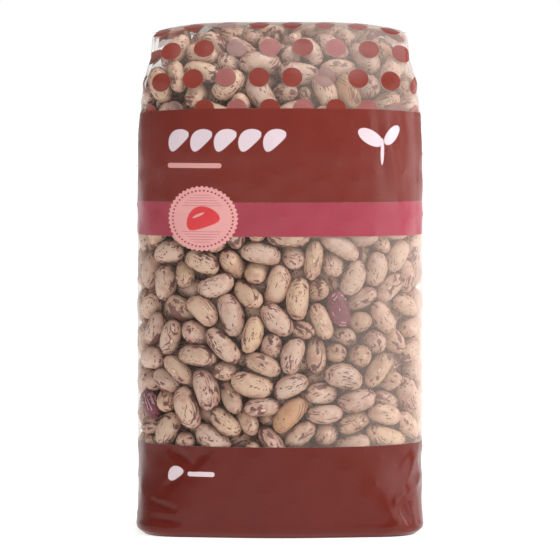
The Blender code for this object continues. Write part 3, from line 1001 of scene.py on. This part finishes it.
def dot_layer(w, u, v, first_row):
    """Rows of round dots in three tints, each row set off from the next: mask, colour and cover."""
    climb = w.maths("SUBTRACT", v, first_row)
    shrink = w.maths("MULTIPLY", w.maths("SUBTRACT", climb, DOT_PITCH), DOT_STRETCH)
    row_place = w.maths("DIVIDE", w.both(climb, w.maths("SUBTRACT", 1.0, shrink)), DOT_PITCH)
    row = w.maths("FLOOR", w.maths("ADD", row_place, 0.5))
    odd = w.maths("PINGPONG", row, 1.0)
    start = w.maths("ADD", DOT_START, w.maths("MULTIPLY", odd, DOT_SHIFT))
    cell_place = w.maths("DIVIDE", w.maths("SUBTRACT", u, start), DOT_PITCH)
    cell = w.maths("FLOOR", w.maths("ADD", cell_place, 0.5))
    off = w.join(w.maths("SUBTRACT", cell_place, cell), w.maths("SUBTRACT", row_place, row))
    reach = w.maths("MULTIPLY", w.vector("LENGTH", off), DOT_PITCH)
    dot = w.ramp(reach, DOT_RADIUS - PRINT_EDGE, DOT_RADIUS + PRINT_EDGE, 1.0, 0.0)
    dot = w.both(dot, w.maths("GREATER_THAN", row, -0.5), w.maths("LESS_THAN", row, DOT_ROWS - 0.5))
    pick = w.chance(w.join(cell, row, DOT_SEED))
    second = w.maths("GREATER_THAN", pick, DOT_SHARES[0])
    third = w.maths("GREATER_THAN", pick, DOT_SHARES[1])
    rim = w.ramp(reach, DOT_RADIUS - 0.42, DOT_RADIUS - 0.25)
    mauve = w.mix(w.maths("MULTIPLY", rim, 0.5), MAUVE_DOT, ROSE_DOT)
    colour = w.mix(third, w.mix(second, BRICK, ROSE_DOT), mauve)
    cover = w.maths("SUBTRACT", 0.98, w.maths("MULTIPLY", second, 0.10))
    cover = w.maths("SUBTRACT", cover, w.maths("MULTIPLY", third, w.ramp(rim, 0.0, 1.0, 0.34, 0.12)))
    return dot, colour, cover


def badge_layers(w, u, v, centre):
    """A round pink badge with a scalloped edge, a ring of small dots, fine rules and a plain bean."""
    across = w.maths("SUBTRACT", u, centre[0])
    up = w.maths("MULTIPLY", w.maths("SUBTRACT", v, centre[1]), BADGE_SQUASH)
    reach = w.vector("LENGTH", w.join(across, up))
    angle = w.maths("ARCTAN2", up, across)
    scallop = w.maths("COSINE", w.maths("MULTIPLY", angle, float(BADGE_SCALLOPS)))
    edge = w.maths("ADD", BADGE_RADIUS - 0.3, w.maths("MULTIPLY", scallop, 0.3))
    disc = w.ramp(w.maths("SUBTRACT", reach, edge), -PRINT_EDGE, PRINT_EDGE, 1.0, 0.0)

    bead_place = w.maths("MULTIPLY", angle, BADGE_BEADS / (2 * math.pi))
    bead_off = w.maths("SUBTRACT", bead_place, w.maths("FLOOR", bead_place))
    bead_off = w.maths("MULTIPLY", w.maths("SUBTRACT", bead_off, 0.5), 2 * math.pi * BEAD_RING / BADGE_BEADS)
    bead_reach = w.vector("LENGTH", w.join(bead_off, w.maths("SUBTRACT", reach, BEAD_RING)))
    beads = w.ramp(bead_reach, BEAD_RADIUS - 0.08, BEAD_RADIUS + 0.08, 1.0, 0.0)

    height = w.maths("ABSOLUTE", up)
    rule_place = w.maths("DIVIDE", w.maths("SUBTRACT", height, RULES_FROM), RULE_PITCH)
    rule_off = w.maths("ABSOLUTE", w.maths("SUBTRACT", w.maths("FRACT", rule_place), 0.5))
    rules = w.ramp(rule_off, 0.10, 0.16, 1.0, 0.0)
    in_rules = w.both(w.maths("GREATER_THAN", height, RULES_FROM), w.maths("LESS_THAN", reach, BEAD_RING - 1.5))
    width_limit = w.maths("SUBTRACT", 8.6, w.maths("MULTIPLY", w.maths("SUBTRACT", height, RULES_FROM), 0.9))
    in_rules = w.both(in_rules, w.maths("LESS_THAN", w.maths("ABSOLUTE", across), width_limit))
    rules = w.both(rules, in_rules)

    bean = kidney(w, across, up, (7.0, 4.8), 0.35)
    shine = turned_oval(w, w.maths("ADD", across, 1.4), w.maths("SUBTRACT", up, 1.5), (2.6, 0.55), 0.45, 0.2)
    return disc, beads, rules, bean, shine


def film_print(levels):
    """The film's print on its unrolled coordinates: colour, how far it covers what is behind, and a painted
    glare that makes the film milkier on the right and at the top.
    """
    tree, w, take, give = new_group(
        "film_print", [("Unrolled", "vector")],
        [("Color", "colour"), ("Cover", "float"), ("Painted_glare", "float")],
    )
    u, v, _ = w.split(w.vector("MULTIPLY", take["Unrolled"], (1000.0, 1000.0, 0.0)))
    dots, dot_colour, dot_cover = dot_layer(w, u, v, levels["band_top"])
    colour = w.mix(dots, CLEAR_FILM, dot_colour)
    cover = w.both(dots, dot_cover)

    fields = (
        (between(w, v, levels["stripe_top"], levels["band_top"]), BAND),
        (between(w, v, levels["stripe_foot"], levels["stripe_top"]), STRIPE),
        (between(w, v, -200.0, levels["foot_top"]), FOOT_BAND),
    )
    for mask, ink in fields:
        colour = w.mix(mask, colour, ink)
        cover = w.either(cover, mask)

    row_left, row_level = TITLE_LEFT, levels["title"]
    place = w.maths("DIVIDE", w.maths("SUBTRACT", u, row_left), TITLE_PITCH)
    index = w.maths("FLOOR", place)
    across = w.maths("MULTIPLY", w.maths("SUBTRACT", w.maths("SUBTRACT", place, index), 0.5), TITLE_PITCH)
    title = kidney(w, across, w.maths("SUBTRACT", v, row_level), TITLE_BEAN, TITLE_TILT)
    in_title = w.both(w.maths("GREATER_THAN", index, -0.5), w.maths("LESS_THAN", index, TITLE_BEANS - 0.5))
    white = w.both(title, in_title)
    for offset, radii, turn in SPRIG_LEAVES:
        centre = (SPRIG_AT + offset[0], levels["sprig"] + offset[1])
        white = w.either(white, oval(w, u, v, centre, radii, turn))
    white = w.either(white, bar(w, u, v, (WEIGHT_BAR[0], levels["weight"]), WEIGHT_BAR[1:]))
    small = kidney(w, w.maths("SUBTRACT", u, WEIGHT_BEAN_AT), w.maths("SUBTRACT", v, levels["weight"]),
                   (3.6, 2.4), 0.6)
    white = w.either(white, small)
    colour = w.mix(white, colour, OFF_WHITE)
    pale = bar(w, u, v, (SUBTITLE_BAR[0], levels["subtitle"]), SUBTITLE_BAR[1:])
    colour = w.mix(pale, colour, PALE_PINK)

    disc, beads, rules, bean, shine = badge_layers(w, u, v, (BADGE_AT, levels["badge"]))
    for mask, ink in ((disc, BADGE_PINK), (w.both(disc, beads), BADGE_BEAD), (rules, BADGE_RULE),
                      (bean, BADGE_RED), (shine, BADGE_PINK)):
        colour = w.mix(mask, colour, ink)
    cover = w.either(cover, disc)
    w.put(give["Color"], colour)
    w.put(give["Cover"], cover)
    # Painted glare: milkier film towards the right of the front and just above the top band, where the lights
    # glare.
    glare_on_right = w.both(w.ramp(u, *PAINTED_GLARE_RIGHT), w.ramp(u, 60.0, 110.0, 1.0, 0.0))
    glare_at_top = w.ramp(v, levels["band_top"] - 2.0, levels["band_top"] + 14.0, 0.0, PAINTED_GLARE_TOP)
    w.put(give["Painted_glare"], w.maths("ADD", glare_on_right, glare_at_top))
    return tree


def film_material(name, print_group, haze, ribs=0.0):
    """Clear film with its print. It is milky at a glancing angle, painted milkier where the lights glare on its
    right side and top, and lightly crinkled.
    """
    material, w, shader = new_material(name)
    unrolled_place = w.node("ShaderNodeUVMap", uv_map="unrolled").outputs[0]
    here = w.node("ShaderNodeTexCoord").outputs["Object"]
    ink = w.node("ShaderNodeGroup", node_tree=print_group)
    w.put(ink.inputs["Unrolled"], unrolled_place)
    cloud = w.noise(here, 28.0, 3.0)
    glance = w.node("ShaderNodeLayerWeight")
    glance.inputs["Blend"].default_value = 0.5
    milk = w.ramp(glance.outputs["Facing"], 0.40, 1.0, 0.0, HAZE_GLANCE)
    # The film's own haze and its glancing milkiness, with the painted glare added.
    haze_and_glare = w.maths("ADD", w.ramp(cloud, 0.3, 0.7, haze * 0.6, haze * 1.4), milk)
    haze_and_glare = w.maths("ADD", haze_and_glare, ink.outputs["Painted_glare"])
    open_share = w.maths("MULTIPLY", w.maths("SUBTRACT", 1.0, ink.outputs["Cover"]),
                         w.maths("SUBTRACT", 1.0, haze_and_glare))
    w.put(shader["Alpha"], w.maths("SUBTRACT", 1.0, open_share, clamp=True))
    tone = w.ramp(cloud, 0.3, 0.7, 0.97, 1.03, "LINEAR")
    colour = w.mix(1.0, ink.outputs["Color"], w.join(tone, tone, tone), "MULTIPLY")
    w.put(shader["Base Color"], colour)
    w.put(shader["Roughness"], w.ramp(w.noise(here, 90.0, 2.0), 0.3, 0.7, 0.23, 0.33))
    w.put(shader["Specular IOR Level"], 0.24)
    w.put(shader["IOR"], 1.5)
    crinkle = w.noise(here, 170.0, 3.0)
    fine = w.maths("ADD", w.maths("MULTIPLY", crinkle, 0.5), w.noise(here, 60.0, 2.0))
    if ribs:
        _, v, _ = w.split(unrolled_place)
        wave = w.maths("SINE", w.maths("MULTIPLY", v, 2 * math.pi / ribs))
        fine = w.maths("ADD", fine, w.maths("MULTIPLY", wave, 0.8))
    bump = w.node("ShaderNodeBump")
    w.put(bump.inputs["Height"], fine)
    w.put(bump.inputs["Strength"], 0.30)
    w.put(bump.inputs["Distance"], 0.35 * MM)
    w.put(shader["Normal"], bump.outputs["Normal"])
    return material


def core_material():
    """Painted shade for the deepest beans: bean colours darkened as if in shadow, mottled, and darkest in the
    gaps between them.
    """
    material, w, shader = new_material("shaded_deep_beans")
    here = w.node("ShaderNodeTexCoord").outputs["Object"]
    cells = w.node("ShaderNodeTexVoronoi", feature="SMOOTH_F1")
    w.put(cells.inputs["Vector"], here)
    w.put(cells.inputs["Scale"], 95.0)
    w.put(shader["Base Color"], w.mix(w.ramp(cells.outputs["Distance"], 0.1, 0.7), SHADED_DEEP_BEAN, SHADED_DEEP_GAP))
    w.put(shader["Roughness"], w.ramp(w.noise(here, 200.0), 0.3, 0.7, 0.6, 0.8))
    return material


def core_piece():
    """A plain body in the middle of the bag, behind the beans that are made one by one, painted dark as the
    shade among the deepest beans.
    """
    heights = np.linspace(CORE_FOOT, CORE_TOP, 24)
    rings = []
    for height in heights:
        outline = whole_outline(height, 11)
        wide, deep = along_stations(WIDTH_STATIONS, height), half_depth(height)
        near_end = min(height - CORE_FOOT, CORE_TOP - height) / CORE_INSET[0]
        full = math.sqrt(max(0.0, 1.0 - (1.0 - min(1.0, near_end)) ** 2)) * 0.9 + 0.1
        shrink = np.array([(wide - CORE_INSET[0]) / wide, max(0.1, (deep - CORE_INSET[1]) / deep)]) * full
        ring = outline * shrink
        rings.append(np.column_stack((ring, np.full(len(ring), height))))
    rings = np.array(rings)
    rows, columns = rings.shape[:2]
    faces = [
        (r * columns + c, r * columns + (c + 1) % columns,
         (r + 1) * columns + (c + 1) % columns, (r + 1) * columns + c)
        for r in range(rows - 1) for c in range(columns)
    ]
    faces.append(tuple(reversed(range(columns))))
    faces.append(tuple(range((rows - 1) * columns, rows * columns)))
    return mesh_object("deep_bean_core", rings.reshape(-1, 3), faces)


def film_strip(name, film, rows, columns, lift, thickness):
    """A strip of doubled film lying on the skin: a patch of the skin's own grid, lifted off it."""
    skin, right, left, up = film
    normals = outward(skin)
    patch = skin[np.ix_(rows, columns)] + normals[np.ix_(rows, columns)] * lift[..., None]
    across = len(columns)
    faces = [
        (r * across + c, r * across + c + 1, (r + 1) * across + c + 1, (r + 1) * across + c)
        for r in range(len(rows) - 1) for c in range(across - 1)
    ]
    piece = mesh_object(name, patch.reshape(-1, 3), faces)
    half = skin.shape[1] // 2
    u_all = np.zeros(skin.shape[:2])
    u_all[:, :half + 1] = right
    for k in range(half + 1, skin.shape[1]):
        u_all[:, k] = 2 * right[:, half] - right[:, skin.shape[1] - k]
    u = u_all[np.ix_(rows, columns)].ravel()
    v = np.repeat(up[rows], across)
    loops = np.empty(len(piece.data.loops), dtype=np.int32)
    piece.data.loops.foreach_get("vertex_index", loops)
    layer = piece.data.uv_layers.new(name="unrolled")
    layer.data.foreach_set("uv", np.stack((u[loops], v[loops]), axis=1).astype(np.float32).ravel())
    bpy.ops.object.select_all(action="DESELECT")
    bpy.context.view_layer.objects.active = piece
    wall = piece.modifiers.new("wall", "SOLIDIFY")
    wall.thickness = thickness
    wall.offset = 1.0
    bpy.ops.object.modifier_apply(modifier=wall.name)
    return piece


def soft_light(name, place, aim, size, power, tint=(1.0, 1.0, 1.0)):
    data = bpy.data.lights.new(name, "AREA")
    data.shape = "RECTANGLE"
    data.size, data.size_y = size
    data.energy = power
    data.color = tint
    lamp = bpy.data.objects.new(name, data)
    lamp.location = place
    lamp.rotation_euler = (Vector(aim) - Vector(place)).to_track_quat("-Z", "Y").to_euler()
    bpy.context.scene.collection.objects.link(lamp)


def stage_and_lights():
    """A pale floor, an even pale surround, and soft light, brightest from the right."""
    bpy.ops.object.select_all(action="DESELECT")
    bpy.ops.mesh.primitive_circle_add(vertices=64, radius=FLOOR_RADIUS, fill_type="NGON")
    floor = bpy.context.object
    floor.name = "floor"
    material, w, shader = new_material("pale_floor")
    here = w.node("ShaderNodeTexCoord").outputs["Object"]
    w.put(shader["Base Color"], w.mix(w.noise(here, 3.0), srgb(188, 187, 186), srgb(192, 191, 190)))
    w.put(shader["Roughness"], 0.7)
    w.put(shader["Emission Color"], (1.0, 1.0, 1.0, 1.0))
    w.put(shader["Emission Strength"], FLOOR_GLOW)
    floor.data.materials.append(material)

    world = bpy.data.worlds.new("pale_surround")
    world.use_nodes = True
    w = Wires(world.node_tree)
    shade = world.node_tree.nodes["Background"]
    seen = w.node("ShaderNodeLightPath").outputs["Is Camera Ray"]
    w.put(shade.inputs["Color"], (1.0, 1.0, 1.0, 1.0))
    w.put(shade.inputs["Strength"], w.ramp(seen, 0.0, 1.0, SURROUND_LIGHT, 1.0, "LINEAR"))
    bpy.context.scene.world = world

    data = bpy.data.lights.new("overhead", "SUN")
    data.energy = OVERHEAD_LIGHT
    data.angle = math.radians(50)
    overhead = bpy.data.objects.new("overhead", data)
    overhead.rotation_euler = Vector((-0.34, 0.20, -0.92)).to_track_quat("-Z", "Y").to_euler()
    bpy.context.scene.collection.objects.link(overhead)
    soft_light("key_right", (1.15, -0.60, 0.50), (0.0, 0.0, 0.10), (0.8, 1.2), KEY_POWER)
    soft_light("rim_right", (1.00, 0.35, 0.35), (0.0, 0.0, 0.14), (0.5, 0.9), RIM_POWER)


def place_camera():
    """Level with the upper third of the bag, as in the photograph, which shows it 560 pixels wide."""
    data = bpy.data.cameras.new("camera")
    data.angle = 2 * math.atan(0.5 * FRAME_PIXELS * PIXEL_SIZE / CAMERA_AWAY)
    camera = bpy.data.objects.new("camera", data)
    camera.location = (0.0, -CAMERA_AWAY - FRONT_AT, CAMERA_HEIGHT)
    drop = (FRAME_PIXELS / 2 - CAMERA_LEVEL_ROW) * PIXEL_SIZE
    camera.rotation_euler = (math.pi / 2 - math.atan(drop / CAMERA_AWAY), 0.0, 0.0)
    bpy.context.scene.collection.objects.link(camera)
    bpy.context.scene.camera = camera
    bpy.context.scene.view_settings.view_transform = "Standard"


def nearest_bean(centre, depth, spots, taken):
    """The bean under the film that is nearest to each spot and isn't taken yet."""
    found = []
    for spot in spots:
        gap = np.linalg.norm(centre - np.array(spot), axis=1)
        gap[depth > TOUCHING_DEPTH] = 1.0
        gap[list(taken) + found] = 1.0
        found.append(int(np.argmin(gap)))
    return found


def hand_over(piece, material):
    """Gives a finished piece its material and its body, and hides the CAD node that it stands in for."""
    piece.data.materials.append(material)
    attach(piece, "root")
    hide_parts(BAG_NODE)


def make_beans(surface, normals, field):
    """Settles the beans, makes a piece of each kind, and gives their heights against the film."""
    centre, turn, half = settle_beans(field)
    draw = np.random.default_rng(BEAN_SEED + 1)
    form, faces = bean_form()
    world, own = bean_points(form, centre, turn, half, draw)
    depth, _ = field.at(centre)
    outer = np.nonzero(depth < OUTER_DEPTH)[0]
    moved = press_to_film(surface, normals, world[outer], faces)
    world[outer] += moved[:, None]
    centre[outer] += moved

    vertex_depth, _ = field.at(world)
    corner = (np.abs(centre[:, 0]) - EMPTY_CORNER[0]) / EMPTY_SPAN[0]
    corner += (centre[:, 2] - EMPTY_CORNER[1]) / EMPTY_SPAN[1]
    kept = (vertex_depth.min(axis=1) > -MOST_PROUD) & (corner < 1.0)
    print("beans left out", int((~kept).sum()))
    outer = np.nonzero((depth < OUTER_DEPTH) & kept)[0]
    height, _ = bean_heights(surface, normals, world[outer], faces)
    world = centre[:, None] + (world - centre[:, None]) * BEAN_SHRINK

    chance = draw.random(len(centre))
    kind = np.digitize(chance, KIND_SHARES)
    maroon = nearest_bean(centre, depth, MAROON_SPOTS, [])
    kind[nearest_bean(centre, depth, TAN_SPOTS, maroon)] = 2
    kind[maroon] = 3
    coat = bean_coat()
    for number, (name, *looks) in enumerate(BEAN_KINDS):
        chosen = np.nonzero((depth < KEEP_DEPTH) & kept & (kind == number))[0]
        beans = bean_piece(name, chosen, world, own, faces, chance)
        hand_over(beans, bean_material(name, coat, *looks))
    hand_over(core_piece(), core_material())
    return height + FILM_GAP


def make_bag():
    surface, heights = film_grid((BASE_ROWS, WALL_ROWS, GABLE_ROWS), QUARTER_COLUMNS)
    surface = folded_film(proud(surface, heights))
    normals = outward(surface)
    coarse, coarse_heights = film_grid((4, 40, 18), 24)
    field = DepthField(proud(coarse, coarse_heights))
    height = make_beans(surface, normals, field)
    film = tight_film(height, film_hold(surface, heights))
    print("film relief mm", np.percentile(film / MM, (0, 5, 25, 50, 75, 95, 100)).round(2))

    skin = film_skin(surface, heights, film, "film_skin")
    right, left, up = unrolled(surface, heights)
    levels = {name: float(np.interp(z * MM, heights, up)) / MM for name, z in PRINT_LEVELS.items()}
    print_group = film_print(levels)
    hand_over(skin, film_material("printed_film", print_group, HAZE))

    shape = surface + normals * film[..., None]
    grid = shape, right, left, up
    columns = shape.shape[1]
    back = columns // 2
    seam_columns = np.arange(back - SEAM_COLUMNS[0], back + SEAM_COLUMNS[1] + 1)
    seam_rows = np.nonzero((heights > SEAM_FROM) & (heights < SEAM_TO))[0]
    side = np.linspace(-1, 1, len(seam_columns))
    lift = np.tile(0.25 + 0.35 * (side > 0.75), (len(seam_rows), 1)) * MM
    lift[:, -1] += 0.25 * MM * np.sin(heights[seam_rows] * 170.0)
    seam = film_strip("back_seam", grid, seam_rows, seam_columns, lift, 0.12 * MM)
    hand_over(seam, film_material("seam_film", print_group, 0.22))

    ridge_end = along_stations(WIDTH_STATIONS, HEIGHT) - SEAL_INSET
    seal_rows = np.nonzero(heights < HEIGHT - SEAL_BELOW_RIDGE)[0]
    last_row = surface[seal_rows[-1]]
    seal_columns = np.nonzero((np.abs(last_row[:, 0]) < ridge_end) & (last_row[:, 1] > RIDGE_GAP))[0]
    first_turn = math.acos(TOP_SEAL_WIDTH / HALF_DEPTH)
    seal_from = HEIGHT - SHOULDER + SHOULDER * math.sin(first_turn)
    seal_rows = seal_rows[heights[seal_rows] >= seal_from]
    lift = np.full((len(seal_rows), len(seal_columns)), 0.7 * MM)
    lift += 0.22 * MM * np.sin(up[seal_rows] / SEAL_RIB * 2 * math.pi)[:, None]
    lift *= smooth_step(0, 6, np.arange(len(seal_rows))[::-1] + 1)[:, None]
    seal = film_strip("top_seal", grid, seal_rows, seal_columns, lift, 0.25 * MM)
    hand_over(seal, film_material("seal_film", print_group, 0.45, ribs=SEAL_RIB))


make_bag()
stage_and_lights()
place_camera()
